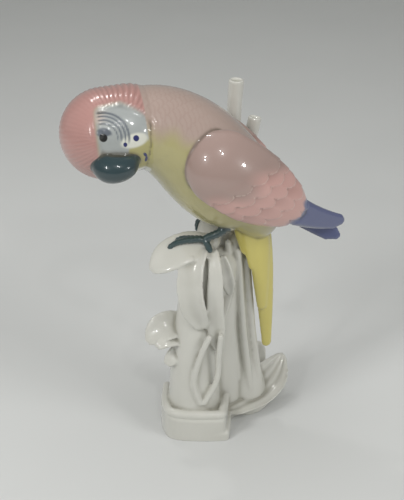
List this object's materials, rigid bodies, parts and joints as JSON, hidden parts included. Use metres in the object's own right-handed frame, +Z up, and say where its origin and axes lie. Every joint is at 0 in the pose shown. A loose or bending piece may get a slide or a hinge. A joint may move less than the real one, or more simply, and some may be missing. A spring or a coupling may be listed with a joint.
{
  "type": "parrot figurine",
  "caption": "Small painted and glazed porcelain parrot bowing from a leafy white stump with a low foot, a free-standing ornament.",
  "frame": {"origin": "on the flat underside of the foot, below the middle of the stump", "axes": "+Z up the stump; the bird's head is towards -X, its wing tips towards +X, and the side it shows is -Y"},
  "size_m": [0.1372, 0.0779, 0.1908],
  "materials": {
    "figurine": "painted and glazed porcelain, glossy"
  },
  "bodies": {
    "root": {"figurine": "figurine"}
  },
  "joints": []
}
